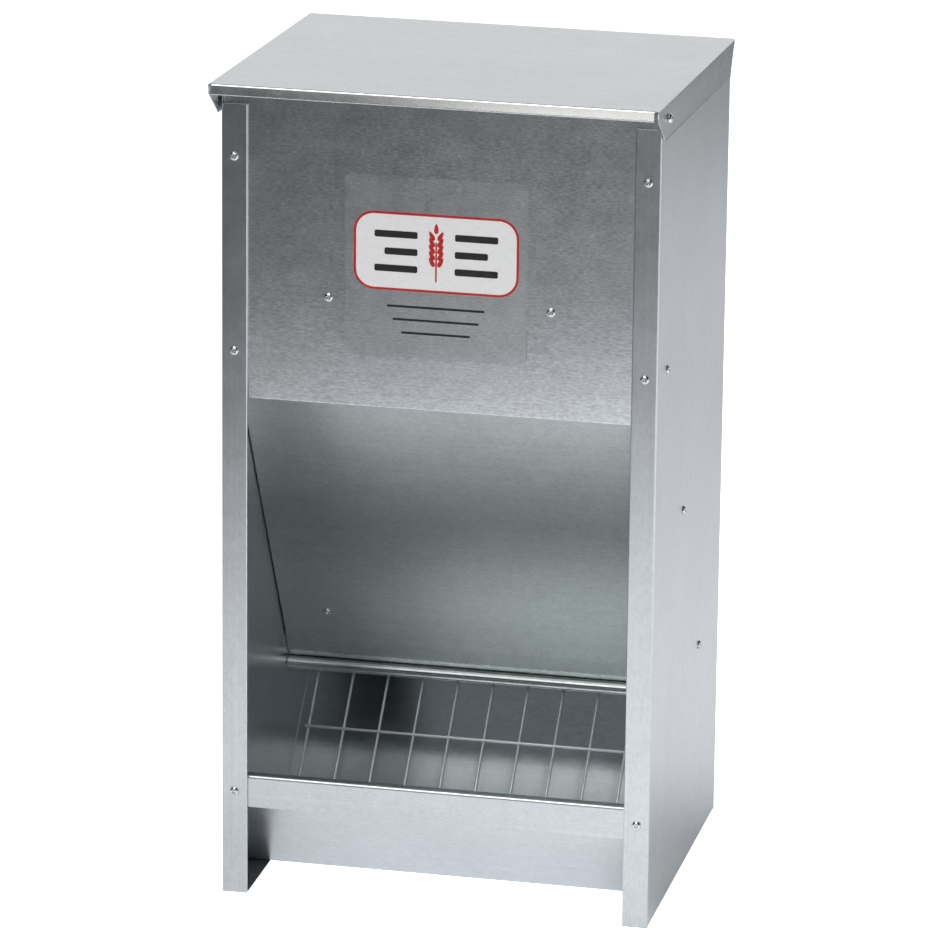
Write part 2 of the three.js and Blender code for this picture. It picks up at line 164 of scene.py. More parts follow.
def make_camera():
    back = Vector((
        math.sin(VIEW_AZIMUTH) * math.cos(VIEW_ELEVATION),
        -math.cos(VIEW_AZIMUTH) * math.cos(VIEW_ELEVATION),
        math.sin(VIEW_ELEVATION),
    ))
    level = (-back).cross(Vector((0, 0, 1))).normalized()
    upright = level.cross(-back)
    right = level * math.cos(VIEW_ROLL) + upright * math.sin(VIEW_ROLL)
    up = upright * math.cos(VIEW_ROLL) - level * math.sin(VIEW_ROLL)
    data = bpy.data.cameras.new("view")
    data.lens = VIEW_LENS
    data.clip_end = 100
    camera = bpy.data.objects.new("view", data)
    turn = Matrix((right, up, back)).transposed().to_4x4()
    camera.matrix_world = Matrix.Translation(VIEW_TARGET + back * VIEW_DISTANCE) @ turn
    bpy.context.scene.collection.objects.link(camera)
    bpy.context.scene.camera = camera


make_camera()

# ---------------------------------------------------------------- materials

ZINC_LIGHT = (0.76, 0.785, 0.80, 1)
ZINC_DARK = (0.50, 0.525, 0.54, 1)
MOTTLED_LIGHT = (0.82, 0.845, 0.86, 1)
MOTTLED_DARK = (0.44, 0.465, 0.48, 1)
GREENISH_LIGHT = (0.745, 0.79, 0.785, 1)
GREENISH_DARK = (0.49, 0.53, 0.525, 1)
ALONG_X, ALONG_Y, ALONG_Z = 0, 1, 2
# Features of the zinc to a metre: specks and rolling lines are drawn out along the grain.
SPECKS = 1000
SPECKS_ALONG = 270
ROLL_LINES = 420
ROLL_LINES_ALONG = 4
BLOTCHES = 75
CLOUDS = 14
SPANGLE = 260
WAVES = 9
NOISE_LOW, NOISE_HIGH = 0.32, 0.68  # between which most of a noise's values lie
FAINT = 0.12  # a pattern's share in the sheet's tone
FILM_LIGHT = (0.84, 0.865, 0.88, 1)
FILM_DARK = (0.52, 0.545, 0.56, 1)


class Graph:
    """A material's node tree, with short ways to add nodes."""

    def __init__(self, name):
        self.material = bpy.data.materials.new(name)
        self.material.use_nodes = True
        self.tree = self.material.node_tree
        self.shader = self.tree.nodes["Principled BSDF"]

    def add(self, kind, **inputs):
        node = self.tree.nodes.new(kind)
        for key, value in inputs.items():
            self.feed(node.inputs[key.replace("_", " ")], value)
        return node

    def feed(self, socket, value):
        if isinstance(value, bpy.types.NodeSocket):
            self.tree.links.new(value, socket)
        else:
            socket.default_value = value

    def place(self, scale, shift=(0, 0, 0)):
        """Object coordinates, scaled to features per metre along each axis."""
        where = self.add("ShaderNodeTexCoord").outputs["Object"]
        return self.add("ShaderNodeMapping", Vector=where, Scale=scale, Location=shift).outputs[0]

    def noise(self, scale, detail=2.0, rough=0.5, shift=(0, 0, 0)):
        where = self.place(scale, shift)
        settings = {"Scale": 1.0, "Detail": detail, "Roughness": rough}
        return self.add("ShaderNodeTexNoise", Vector=where, **settings).outputs["Fac"]

    def spread(self, value, low, high, into_low, into_high):
        node = self.add("ShaderNodeMapRange")
        node.clamp = True
        ends = {"From Min": low, "From Max": high, "To Min": into_low, "To Max": into_high}
        for key, number in ends.items():
            node.inputs[key].default_value = number
        self.feed(node.inputs["Value"], value)
        return node.outputs["Result"]

    def sum(self, first, second, kind="ADD"):
        node = self.add("ShaderNodeMath")
        node.operation = kind
        self.feed(node.inputs[0], first)
        self.feed(node.inputs[1], second)
        return node.outputs[0]

    def blend(self, share, first, second):
        node = self.tree.nodes.new("ShaderNodeMix")
        node.data_type = "RGBA"
        self.feed(node.inputs[0], share)
        self.feed(node.inputs[6], first)
        self.feed(node.inputs[7], second)
        return node.outputs[2]

    def bump(self, height, depth, under=None):
        node = self.add("ShaderNodeBump", Strength=1.0, Distance=depth, Height=height)
        if under is not None:
            self.feed(node.inputs["Normal"], under)
        return node.outputs["Normal"]

    def finish(self, **inputs):
        for key, value in inputs.items():
            self.feed(self.shader.inputs[key.replace("_", " ")], value)
        return self.material


def galvanised(name, grain, roughness, speck, seed, colours=None, polish=None):
    """Zinc-coated sheet: short fibres drawn out along the grain, faint rolling lines, soft
    blotches and spangle, and a slight waviness. Polish is an axis, the two places between
    which the sheet gets smoother, and how much roughness it loses there."""
    graph = Graph(name)
    short = Vector((SPECKS, SPECKS, SPECKS))
    short[grain] = SPECKS_ALONG
    long = Vector((ROLL_LINES, ROLL_LINES, ROLL_LINES))
    long[grain] = ROLL_LINES_ALONG
    specks = graph.noise(short, 3.0, 0.62, (seed, 0, 0))
    lines = graph.noise(long, 2.0, 0.5, (0, seed, 0))
    blotches = graph.noise((BLOTCHES, BLOTCHES, BLOTCHES), 3.0, 0.6, (seed, seed, 0))
    clouds = graph.noise((CLOUDS, CLOUDS, CLOUDS), 3.0, 0.55, (0, 0, seed))
    where = graph.place((SPANGLE, SPANGLE, SPANGLE), (seed, seed, 0))
    spangle = graph.add("ShaderNodeTexVoronoi", Vector=where, Scale=1.0)
    cell = graph.add("ShaderNodeSeparateColor", Color=spangle.outputs["Color"]).outputs[0]
    tone = graph.spread(specks, NOISE_LOW, NOISE_HIGH, 0, 0.70 * speck)
    for pattern in (lines, blotches, clouds):
        tone = graph.sum(tone, graph.spread(pattern, NOISE_LOW, NOISE_HIGH, 0, FAINT))
    tone = graph.sum(tone, graph.spread(cell, 0, 1, 0, FAINT))
    rough = graph.sum(
        graph.spread(specks, NOISE_LOW, NOISE_HIGH, roughness - 0.012, roughness + 0.012),
        graph.spread(blotches, NOISE_LOW, NOISE_HIGH, -0.013, 0.013),
    )
    if polish:
        axis, start, end, lost = polish
        where = graph.add("ShaderNodeTexCoord").outputs["Object"]
        spot = graph.add("ShaderNodeSeparateXYZ", Vector=where).outputs[axis]
        rough = graph.sum(rough, graph.spread(spot, start, end, 0, -lost))
    waves = graph.noise((WAVES, WAVES, WAVES), 1.0, 0.4, (seed, seed, seed))
    normal = graph.bump(waves, 0.0004)
    normal = graph.bump(blotches, 0.000004, normal)
    dark, light = colours or (ZINC_DARK, ZINC_LIGHT)
    return graph.finish(
        Base_Color=graph.blend(tone, dark, light),
        Metallic=1.0,
        Roughness=rough,
        Normal=normal,
    )


def wire_metal():
    """Zinc-coated wire: small runs of thicker zinc and fine pits."""
    graph = Graph("galvanised_wire")
    runs = graph.noise((160, 160, 160), 3.0, 0.6)
    pits = graph.noise((1500, 1500, 1500), 2.0, 0.5)
    normal = graph.bump(runs, 0.000003)
    normal = graph.bump(pits, 0.000001, normal)
    return graph.finish(
        Base_Color=graph.blend(runs, (0.89, 0.94, 0.96, 1), (0.93, 0.98, 1.0, 1)),
        Metallic=0.5,
        Roughness=graph.spread(runs, 0.3, 0.7, 0.30, 0.40),
        Normal=normal,
    )


def rivet_metal():
    """Aluminium, lightly scuffed."""
    graph = Graph("rivet_metal")
    scuffs = graph.noise((900, 900, 900), 4.0, 0.65)
    return graph.finish(
        Base_Color=graph.blend(scuffs, (0.60, 0.61, 0.62, 1), (0.80, 0.80, 0.80, 1)),
        Metallic=1.0,
        Roughness=graph.spread(scuffs, 0.3, 0.7, 0.12, 0.20),
        Normal=graph.bump(scuffs, 0.000004),
    )


def film():
    """Clear sticker over the zinc: the sheet shows through, a little lighter and smoother."""
    material = galvanised("label_film", ALONG_X, 0.32, 0.9, 5.0, (FILM_DARK, FILM_LIGHT))
    shader = material.node_tree.nodes["Principled BSDF"]
    shader.inputs["Coat Weight"].default_value = 0.08
    shader.inputs["Coat Roughness"].default_value = 0.15
    return material


def ink(name, colour, deeper):
    """Printed ink with the faint mottle of a screen print."""
    graph = Graph(name)
    mottle = graph.noise((700, 700, 700), 3.0, 0.6)
    return graph.finish(
        Base_Color=graph.blend(graph.spread(mottle, 0.35, 0.65, 0, 1), deeper, colour),
        Metallic=0.0,
        Roughness=graph.spread(mottle, 0.3, 0.7, 0.34, 0.44),
        Normal=graph.bump(mottle, 0.000006),
    )


# ---------------------------------------------------------------- making pieces


def piece(name, mesh, body, replaced, material):
    made = bpy.data.objects.new(name, mesh)
    bpy.context.scene.collection.objects.link(made)
    mesh.materials.clear()
    mesh.materials.append(material)
    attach(made, body)
    if replaced:
        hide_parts(*replaced)
    return made


def settled(mesh, modifiers):
    """The mesh with the modifiers applied: a list of (kind, settings)."""
    draft = bpy.data.objects.new("draft", mesh)
    bpy.context.scene.collection.objects.link(draft)
    for kind, settings in modifiers:
        modifier = draft.modifiers.new(kind.lower(), kind)
        for key, value in settings.items():
            setattr(modifier, key, value)
    graph = bpy.context.evaluated_depsgraph_get()
    done = bpy.data.meshes.new_from_object(draft.evaluated_get(graph))
    bpy.data.objects.remove(draft)
    return done


def smooth(mesh):
    for face in mesh.polygons:
        face.use_smooth = True


def mesh_of(bm, name):
    mesh = bpy.data.meshes.new(name)
    bm.to_mesh(mesh)
    bm.free()
    smooth(mesh)
    return mesh


WEIGHTED = ("WEIGHTED_NORMAL", {"mode": "FACE_AREA", "weight": 100, "keep_sharp": False})


def thickened(bm, name, holes=()):
    """Closed sheet metal from its outer face, with slightly rounded cut edges."""
    shell = ("SOLIDIFY", {"thickness": SHEET, "offset": -1, "use_even_offset": True})
    rounding = (
        "BEVEL",
        {
            "width": EDGE_ROUND, "segments": 2,
            "limit_method": "ANGLE", "angle_limit": math.radians(60),
        },
    )
    cutters = [("BOOLEAN", {"object": hole, "solver": "EXACT"}) for hole in holes]
    mesh = settled(mesh_of(bm, name), [shell, *cutters, rounding])
    clean = bmesh.new()
    clean.from_mesh(mesh)
    bmesh.ops.remove_doubles(clean, verts=clean.verts, dist=SLIVER)
    bmesh.ops.dissolve_degenerate(clean, edges=clean.edges, dist=SLIVER)
    clean.to_mesh(mesh)
    clean.free()
    return settled(mesh, [WEIGHTED])


def setback(radius, degrees):
    """How far a bend's tangent point lies from the corner that it rounds."""
    return radius * math.tan(math.radians(min(degrees, 90)) / 2)


class Fold:
    """A bend and the flat behind it, measured between sharp corners. A trim shortens an end."""

    def __init__(self, radius, degrees, reach=0.0, trims=(0.0, 0.0)):
        self.radius, self.degrees, self.reach, self.trims = radius, degrees, reach, trims


def next_line(bm, line, spots):
    fresh = [bm.verts.new(spot) for spot in spots]
    for i in range(len(line) - 1):
        bm.faces.new((line[i + 1], line[i], fresh[i], fresh[i + 1]))
    return fresh


def grow(bm, line, outward, towards, folds):
    """Folds sheet onward from an edge. Line runs the way the panel's outline does, outward
    leaves the panel in its own plane and towards is the side that it bends to."""
    line = list(line)
    along = (line[-1].co - line[0].co).normalized()
    for number, fold in enumerate(folds):
        angle = math.radians(fold.degrees)
        if fold.degrees:
            steps = max(2, round(fold.degrees / BEND_STEP))
            start = [vert.co.copy() for vert in line]
            for step in range(1, steps + 1):
                turned = angle * step / steps
                shift = outward * math.sin(turned) + towards * (1 - math.cos(turned))
                line = next_line(bm, line, [spot + shift * fold.radius for spot in start])
            outward, towards = (
                outward * math.cos(angle) + towards * math.sin(angle),
                towards * math.cos(angle) - outward * math.sin(angle),
            )
        following = folds[number + 1] if number + 1 < len(folds) else None
        flat = fold.reach - (setback(fold.radius, fold.degrees) if fold.degrees else 0)
        if following:
            flat -= setback(following.radius, following.degrees) if following.degrees else 0
        if fold.reach:
            spots = [vert.co + outward * flat for vert in line]
            spots[0] += along * fold.trims[0]
            spots[-1] -= along * fold.trims[1]
            line = next_line(bm, line, spots)
    return line


def outline(bm, spots):
    verts = [bm.verts.new(spot) for spot in spots]
    bm.faces.new(verts)
    return verts


def lathe(profile, place, outward, steps=40):
    """A closed solid turned about the outward axis; profile is (radius, height) points."""
    bm = bmesh.new()
    turn = Vector((0, 0, 1)).rotation_difference(outward)
    rings = []
    for radius, height in profile:
        if radius == 0:
            rings.append([bm.verts.new(place + turn @ Vector((0, 0, height)))])
            continue
        ring = []
        for step in range(steps):
            angle = 2 * math.pi * step / steps
            spot = Vector((radius * math.cos(angle), radius * math.sin(angle), height))
            ring.append(bm.verts.new(place + turn @ spot))
        rings.append(ring)
    for low, high in zip(rings, rings[1:]):
        for step in range(steps):
            after = (step + 1) % steps
            corners = [
                low[step % len(low)], low[after % len(low)],
                high[after % len(high)], high[step % len(high)],
            ]
            corners = list(dict.fromkeys(corners))
            bm.faces.new(corners)
    bmesh.ops.recalc_face_normals(bm, faces=bm.faces)
    return bm


# ---------------------------------------------------------------- sheet pieces

UP = Vector((0, 0, 1))
FORWARD = Vector((0, -1, 0))
BACKWARD = Vector((0, 1, 0))
SIDES = (("left", -1), ("right", 1))


def bore(place, axis, radius):
    """A cylinder that cuts a hole; it is removed when the hole has been cut."""
    profile = [(0, -BORE_REACH), (radius, -BORE_REACH), (radius, BORE_REACH), (0, BORE_REACH)]
    bm = lathe(profile, place, axis, 32)
    mesh = bpy.data.meshes.new("bore")
    bm.to_mesh(mesh)
    bm.free()
    tool = bpy.data.objects.new("bore", mesh)
    bpy.context.scene.collection.objects.link(tool)
    return tool


def drop(tools):
    for tool in tools:
        bpy.data.objects.remove(tool)


def lid_point(x, along, rise):
    """A point of the lid, from the pins' axis, turned to the closed lid's tilt."""
    y = along * math.cos(LID_TILT) + rise * math.sin(LID_TILT)
    z = rise * math.cos(LID_TILT) - along * math.sin(LID_TILT)
    return Vector((x, lid_hinge[1] + y, lid_hinge[2] + z))


def side_panel(word, side, material):
    """A side: front, back and foot flanges; the front flange's edge is folded flat behind it."""
    bm = bmesh.new()
    out = Vector((side, 0, 0))
    x = side * HALF
    reach = LID_RISE - SHEET - TOP_CLEARANCE
    crown = lid_point(x, 0, reach)
    back_top = crown.z - (BACK - BEND - crown.y) * math.tan(LID_TILT)
    front, back = FRONT + BEND, BACK - BEND
    points = [
        (front, 0), (front + RELIEF, 0), (front + RELIEF, BEND),
        (back - RELIEF, BEND), (back - RELIEF, 0), (back, 0),
        (back, BACK_FLANGE_TOP), (back, back_top), (crown.y, crown.z),
        (lid_hinge[1] - reach * 0.707, lid_hinge[2] + reach * 0.707),
        (front, lid_hinge[2] + reach / 2), (front, FRONT_FLANGE_TOP),
    ]
    if side < 0:
        points.reverse()
    verts = outline(bm, [Vector((x, y, z)) for y, z in points])

    def edge(first, second):
        ends = {first, second}
        pair = [v for v in verts if (round(v.co.y, 6), round(v.co.z, 6)) in ends]
        if verts.index(pair[1]) - verts.index(pair[0]) != 1:
            pair.reverse()
        return pair

    def spot(y, z):
        return round(y, 6), round(z, 6)

    inward = -out
    grow(bm, edge(spot(front, FRONT_FLANGE_TOP), spot(front, 0)), FORWARD, inward, [
        Fold(BEND, 90, FRONT_FLANGE), Fold(FOLD_RADIUS, 180, FRONT_RETURN),
    ])
    grow(bm, edge(spot(back, 0), spot(back, BACK_FLANGE_TOP)), BACKWARD, inward, [
        Fold(BEND, 90, BACK_FLANGE),
    ])
    grow(bm, edge(spot(front + RELIEF, BEND), spot(back - RELIEF, BEND)), -UP, inward, [
        Fold(BEND, 90, FOOT_FLANGE, (FOOT_TRIM, FOOT_TRIM)),
    ])
    pin = Vector((x, lid_hinge[1], lid_hinge[2]))
    tools = [bore(pin, out, PIN_HOLE)]
    mesh = thickened(bm, f"side_{word}", tools)
    drop(tools)
    node = f"side_panel_{word}"
    return piece(f"{node}_sheet", mesh, "body", [node], material)


def front_panel(material):
    """A flat panel with a folded lower edge that leans back a little."""
    bm = bmesh.new()
    y = panel_low.y
    low = panel_low.z + FOLD_RADIUS
    verts = outline(bm, [
        Vector((-INSIDE, y, low)), Vector((INSIDE, y, low)),
        Vector((INSIDE, y, panel_high.z)), Vector((-INSIDE, y, panel_high.z)),
    ])
    grow(bm, verts[:2], -UP, BACKWARD, [Fold(FOLD_RADIUS, 180, FRONT_HEM)])
    for row in range(1, LEAN_ROWS + 1):
        cut = Vector((0, 0, panel_low.z + LEAN_HEIGHT * row / LEAN_ROWS))
        everything = [*bm.verts, *bm.edges, *bm.faces]
        bmesh.ops.bisect_plane(bm, geom=everything, plane_co=cut, plane_no=UP)
    for vert in bm.verts:
        share = max(0, 1 - (vert.co.z - panel_low.z) / LEAN_HEIGHT)
        vert.co.y += LEAN * share * share
    mesh = thickened(bm, "front_panel")
    return piece("front_panel_sheet", mesh, "body", ["front_panel"], material)


def back_panel(material):
    low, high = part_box("back_panel")
    bm = bmesh.new()
    outline(bm, [
        Vector((INSIDE, high.y, low.z)), Vector((-INSIDE, high.y, low.z)),
        Vector((-INSIDE, high.y, high.z)), Vector((INSIDE, high.y, high.z)),
    ])
    mesh = thickened(bm, "back_panel")
    return piece("back_panel_sheet", mesh, "body", ["back_panel"], material)


def baffle_frame():
    """Where the baffle's slope starts, its direction down and its front face's normal."""
    start = Vector((0, baffle_low.y, BAFFLE_BEND_Z))
    to_bead = Vector((0, BEAD_Y, BEAD_Z)) - start
    tilt = math.atan2(to_bead.z, to_bead.y) + math.asin(BEAD_INSIDE / to_bead.length)
    down = Vector((0, math.cos(tilt), math.sin(tilt)))
    return start, down, Vector((0, down.z, -down.y)), to_bead.dot(down)


def baffle(material):
    """The slope, with a tab behind the front panel, side flanges and a rolled lower edge."""
    start, down, face, length = baffle_frame()
    top_degrees = 90 - math.degrees(math.atan2(-down.z, down.y))
    top = setback(BEND, top_degrees)
    narrow = INSIDE - WING_BEND
    right = [
        (INSIDE, length), (INSIDE, WING_END), (narrow, WING_END),
        (narrow, WING_START), (INSIDE, WING_START), (INSIDE, top),
    ]
    points = [*right, *[(-x, along) for x, along in reversed(right)]]
    bm = bmesh.new()
    verts = outline(bm, [start + down * along + Vector((x, 0, 0)) for x, along in points])
    bm.faces.ensure_lookup_table()
    bm.faces[0].normal_update()
    if bm.faces[0].normal.dot(face) < 0:
        bm.faces[0].normal_flip()
    order = [loop.vert for loop in bm.faces[0].loops]

    def edge(first, second):
        a, b = verts[first], verts[second]
        after = order[(order.index(a) + 1) % len(order)]
        return [a, b] if after is b else [b, a]

    tab = baffle_high.z - BAFFLE_BEND_Z
    grow(bm, edge(5, 6), -down, -face, [Fold(BEND, top_degrees, tab)])
    grow(bm, edge(11, 0), down, face, [Fold(BEAD_INSIDE, BEAD_TURN)])
    wing = Fold(WING_BEND, 90, WING_HEIGHT, (WING_TRIM, WING_TRIM))
    grow(bm, edge(2, 3), Vector((1, 0, 0)), -face, [wing])
    grow(bm, edge(8, 9), Vector((-1, 0, 0)), -face, [wing])
    mesh = thickened(bm, "baffle")
    return piece("baffle_sheet", mesh, "body", ["baffle"], material)


def trough(material):
    """One sheet: lip and its ledge, sloping front, floor, sloping back and tab."""
    low = trough_low.z
    run = LIP_BOTTOM - low
    rise = trough_high.z - TROUGH_TAB - low
    cut = setback(BEND, 45)
    front, back = trough_low.y + run + cut, FLOOR_END_Y - cut
    bm = bmesh.new()
    verts = outline(bm, [
        Vector((-INSIDE, back, low)), Vector((INSIDE, back, low)),
        Vector((INSIDE, front, low)), Vector((-INSIDE, front, low)),
    ])
    diagonal = math.sqrt(2)
    grow(bm, verts[2:], FORWARD, UP, [
        Fold(BEND, 45, run * diagonal), Fold(BEND, 45, LIP_TOP - LIP_BOTTOM),
        Fold(LIP_BEND, LIP_DEGREES, LIP_RETURN),
    ])
    grow(bm, verts[:2], BACKWARD, UP, [
        Fold(BEND, 45, rise * diagonal), Fold(BEND, 45, TROUGH_TAB),
    ])
    mesh = thickened(bm, "trough")
    return piece("trough_sheet", mesh, "body", ["trough"], material)


def lid(material):
    """The top, a front flange with a folded edge, a plain back flange and two side flanges."""
    bm = bmesh.new()
    x = LID_HALF - BEND
    front, back = BEND - LID_AHEAD, LID_BEHIND - BEND
    verts = outline(bm, [
        Vector((x - RELIEF, back, 0)), Vector((-x + RELIEF, back, 0)), Vector((-x, back, 0)),
        Vector((-x, front, 0)), Vector((-x + RELIEF, front, 0)), Vector((x - RELIEF, front, 0)),
        Vector((x, front, 0)), Vector((x, back, 0)),
    ])
    grow(bm, verts[4:6], FORWARD, -UP, [
        Fold(BEND, LID_FRONT_BEND, LID_END_FLANGE), Fold(FOLD_RADIUS, 180, LID_RETURN),
    ])
    grow(bm, verts[0:2], BACKWARD, -UP, [Fold(BEND, 90, LID_END_FLANGE)])
    rest = LID_SIDE_FLANGE - LID_END_FLANGE
    back_trim = LID_BACK_SLANT * LID_END_FLANGE / LID_SIDE_FLANGE
    slant = Vector((LID_FRONT_SLANT - LID_FRONT_RAKE, LID_BACK_SLANT - back_trim))
    edge_share = LID_SIDE_EDGE / rest
    slants = [(LID_FRONT_RAKE, back_trim), slant * (1 - edge_share), slant * edge_share]
    for side, ends in ((1, verts[6:8]), (-1, verts[2:4])):
        trims = [tuple(pair) if side > 0 else tuple(pair)[::-1] for pair in slants]
        edge = grow(bm, ends, Vector((side, 0, 0)), -UP, [
            Fold(BEND, 90, LID_END_FLANGE, trims[0]),
            Fold(0, 0, rest - LID_SIDE_EDGE, trims[1]), Fold(0, 0, LID_SIDE_EDGE, trims[2]),
        ])
        for vert in edge:
            vert.co.x += side * LID_SIDE_FLARE
    for vert in bm.verts:
        vert.co = lid_point(vert.co.x, vert.co.y, vert.co.z + LID_RISE)
    tools = [
        bore(Vector((side * LID_HALF, lid_hinge[1], lid_hinge[2])), Vector((side, 0, 0)), PIN_HOLE)
        for _, side in SIDES
    ]
    mesh = thickened(bm, "lid", tools)
    drop(tools)
    return piece("lid_sheet", mesh, "lid", ["lid"], material)


# ---------------------------------------------------------------- grid


def wire(bm, start, end, steps=20):
    """A wire with rounded ends, between two points."""
    run = end - start
    turn = UP.rotation_difference(run.normalized())
    nose = WIRE_RADIUS * 0.35
    rings = [
        (0.0, 0.0), (WIRE_RADIUS - nose, 0.0), (WIRE_RADIUS - nose * 0.3, nose * 0.3),
        (WIRE_RADIUS, nose), (WIRE_RADIUS, run.length - nose),
        (WIRE_RADIUS - nose * 0.3, run.length - nose * 0.3),
        (WIRE_RADIUS - nose, run.length), (0.0, run.length),
    ]
    made = lathe(rings, Vector(), UP, steps)
    mesh = bpy.data.meshes.new("wire")
    made.to_mesh(mesh)
    made.free()
    mesh.transform(Matrix.Translation(start) @ turn.to_matrix().to_4x4())
    bm.from_mesh(mesh)
    bpy.data.meshes.remove(mesh)


def wire_grid(material):
    """Long wires down the slope, with cross wires welded on their upper sides."""
    low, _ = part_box("wire_grid")
    up = Vector((0, math.cos(GRID_SLOPE), math.sin(GRID_SLOPE)))
    above = Vector((0, -up.z, up.y))
    foot = Vector((0, low.y + WIRE_RADIUS * up.z, low.z + WIRE_RADIUS * up.y))
    first = -(WIRE_COUNT - 1) / 2 * WIRE_PITCH
    bm = bmesh.new()
    for number in range(WIRE_COUNT):
        start = foot + Vector((first + number * WIRE_PITCH, 0, 0))
        wire(bm, start, start + up * GRID_LENGTH)
    for step in (-1, 0, 1):
        middle = foot + up * (GRID_MIDDLE + step * CROSS_PITCH) + above * CROSS_HEIGHT
        wire(bm, middle + Vector((low.x, 0, 0)), middle - Vector((low.x, 0, 0)))
    mesh = mesh_of(bm, "wire_grid")
    return piece("wire_grid_welded", mesh, "body", ["wire_grid"], material)


# ---------------------------------------------------------------- rivets and pins


def blind_rivet(grip):
    """Profile of a set blind rivet, from its tail to the broken pin in the head's middle."""
    mm = 0.001
    tail = [
        (0, -grip / mm - 1.3), (1.3, -grip / mm - 1.3), (2.2, -grip / mm - 1.0),
        (2.6, -grip / mm - 0.5), (2.3, -grip / mm - 0.05), (1.6, -grip / mm),
    ]
    dome = [
        (1.6, 0.0), (3.0, 0.0), (3.2, 0.12), (3.18, 0.35), (2.95, 0.85), (2.5, 1.30),
        (2.0, 1.58), (1.6, 1.66), (1.35, 1.58), (1.22, 1.35), (1.15, 0.85), (0.95, 0.78),
        (0.9, 0.98), (0.72, 1.12), (0.4, 1.16), (0, 1.14),
    ]
    return [(radius * mm, height * mm) for radius, height in [*tail, *dome]]


def pin_profile(grip):
    """Profile of a solid domed pin."""
    mm = 0.001
    points = [
        (0, -grip / mm - 1.2), (2.0, -grip / mm - 1.2), (2.9, -grip / mm - 0.9),
        (3.0, -grip / mm - 0.3), (2.8, -grip / mm), (2.0, -grip / mm), (2.0, 0.1),
        (3.1, 0.1), (3.4, 0.35), (3.35, 0.9), (3.0, 1.75), (2.4, 2.4), (1.6, 2.8), (0.8, 2.97),
        (0, 3.0),
    ]
    return [(radius * mm, height * mm) for radius, height in points]


def rivets(material):
    _, _, face, _ = baffle_frame()
    pairs = 2 * SHEET + GAP
    front_grip = 3 * SHEET + FOLD_GAP + GAP
    plans = []
    for word, side in SIDES:
        across = Vector((side, 0, 0))
        for number in (1, 2, 3):
            plans.append((f"front_rivet_{word}_{number}", FORWARD, front_grip))
            plans.append((f"back_rivet_{word}_{number}", BACKWARD, pairs))
            plans.append((f"baffle_side_rivet_{word}_{number}", across, pairs))
        plans.append((f"panel_rivet_{word}", FORWARD, pairs))
        plans.append((f"trough_rivet_{word}", BACKWARD, pairs))
    plans.append(("baffle_face_rivet", face, SHEET))
    for node, outward, grip in plans:
        low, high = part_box(node)
        # The box runs from the tail to the head's top along the rivet's axis.
        middle = (low + high) / 2
        span = grip + 2 * GAP + TAIL_HEIGHT + HEAD_HEIGHT
        place = middle + outward * (span / 2 - HEAD_HEIGHT - GAP)
        mesh = mesh_of(lathe(blind_rivet(grip), place, outward), node)
        mesh = settled(mesh, [WEIGHTED])
        piece(f"{node}_set", mesh, "body", [node], material)
    for word, side in SIDES:
        node = f"lid_pin_{word}"
        place = Vector((side * LID_HALF, lid_hinge[1], lid_hinge[2]))
        grip = LID_HALF - HALF + SHEET
        mesh = mesh_of(lathe(pin_profile(grip), place, Vector((side, 0, 0))), node)
        piece(f"{node}_domed", mesh, "body", [node], material)


# ---------------------------------------------------------------- label


def plate(name, outline_points, level, material):
    """A thin printed or cut shape on the label, one of several levels that lie on each other."""
    bm = bmesh.new()
    y = panel_low.y - FILM - level * PRINT
    outline(bm, [Vector((x, y, z)) for x, z in outline_points])
    thickness = (PRINT if level else FILM) + PRINT / 2
    shell = ("SOLIDIFY", {"thickness": thickness, "offset": -1})
    mesh = settled(mesh_of(bm, name), [shell, WEIGHTED])
    return piece(name, mesh, "body", [], material)


def rounded(x, z, half_width, half_height, corner, steps=8):
    """A rounded rectangle's points, anticlockwise as seen from the front."""
    points = []
    for quarter, (sx, sz) in enumerate(((1, 1), (-1, 1), (-1, -1), (1, -1))):
        for step in range(steps + 1):
            angle = math.pi / 2 * (quarter + step / steps)
            points.append((
                x + sx * (half_width - corner) + corner * math.cos(angle),
                z + sz * (half_height - corner) + corner * math.sin(angle),
            ))
    return points


def kernel(x, z, lean, half_length=0.0036, half_width=0.0015, steps=20):
    """A leaning oval, pointed a little at its upper end."""
    points = []
    for step in range(steps):
        angle = 2 * math.pi * step / steps
        across = half_width * math.cos(angle) * (1 - 0.35 * math.sin(angle))
        along = half_length * math.sin(angle)
        points.append((
            x + across * math.cos(lean) + along * math.sin(lean),
            z - across * math.sin(lean) + along * math.cos(lean),
        ))
    return points


